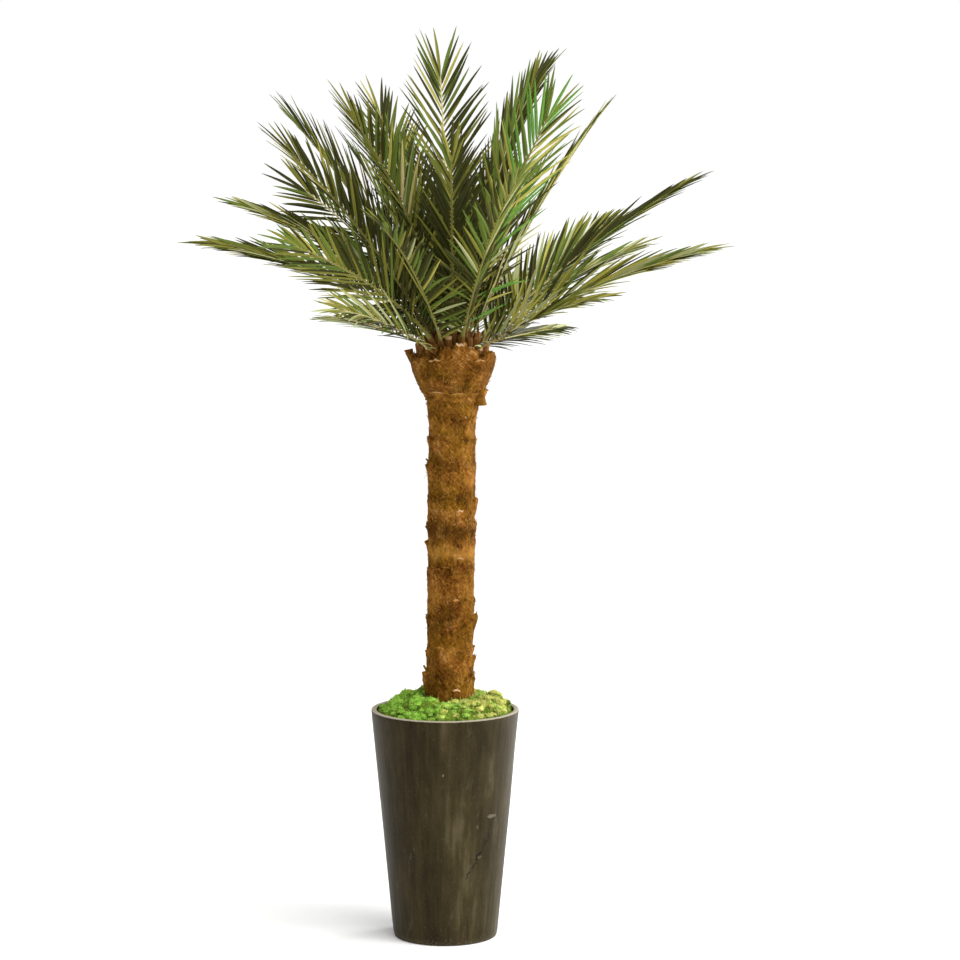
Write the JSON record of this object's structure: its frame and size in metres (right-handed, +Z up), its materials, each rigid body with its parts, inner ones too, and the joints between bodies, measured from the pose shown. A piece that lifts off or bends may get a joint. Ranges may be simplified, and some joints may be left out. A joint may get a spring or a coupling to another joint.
{
  "type": "potted artificial date palm",
  "caption": "Tall artificial date palm with a fibre-wrapped trunk and a round spread of feather-shaped fronds, set in moss in a tall tapered round planter.",
  "frame": {"origin": "middle of the pot's flat underside, where the planter stands on the floor", "axes": "+Z up along the pot's axis, +X to the right and -Y towards someone who faces the plant"},
  "size_m": [1.5705, 1.605, 2.748],
  "materials": {
    "pot": "dark umber cast fibre-stone, vertically streaked, satin, with a paler rim",
    "filling": "coarse cast ballast, matt",
    "moss": "preserved moss, bright green to olive, matt",
    "trunk_fibre": "coir matting wound round a pole, matt",
    "head_fibre": "coir matting with cut leaf stubs, matt",
    "fronds": "woven leaf, olive to dark green with yellowish ribs, satin"
  },
  "bodies": {
    "root": {"pot": "pot", "pot_filling": "filling", "moss": "moss", "trunk": "trunk_fibre", "head": "head_fibre", "frond_01": "fronds", "frond_02": "fronds", "frond_03": "fronds", "frond_04": "fronds", "frond_05": "fronds", "frond_06": "fronds", "frond_07": "fronds", "frond_08": "fronds", "frond_09": "fronds", "frond_10": "fronds", "frond_11": "fronds", "frond_12": "fronds", "frond_13": "fronds", "frond_14": "fronds", "frond_15": "fronds", "frond_16": "fronds", "frond_17": "fronds", "frond_18": "fronds", "frond_19": "fronds", "frond_20": "fronds", "frond_21": "fronds", "frond_22": "fronds", "frond_23": "fronds", "frond_24": "fronds", "frond_25": "fronds", "frond_26": "fronds", "frond_27": "fronds", "frond_28": "fronds", "frond_29": "fronds", "frond_30": "fronds", "frond_31": "fronds"}
  },
  "joints": []
}
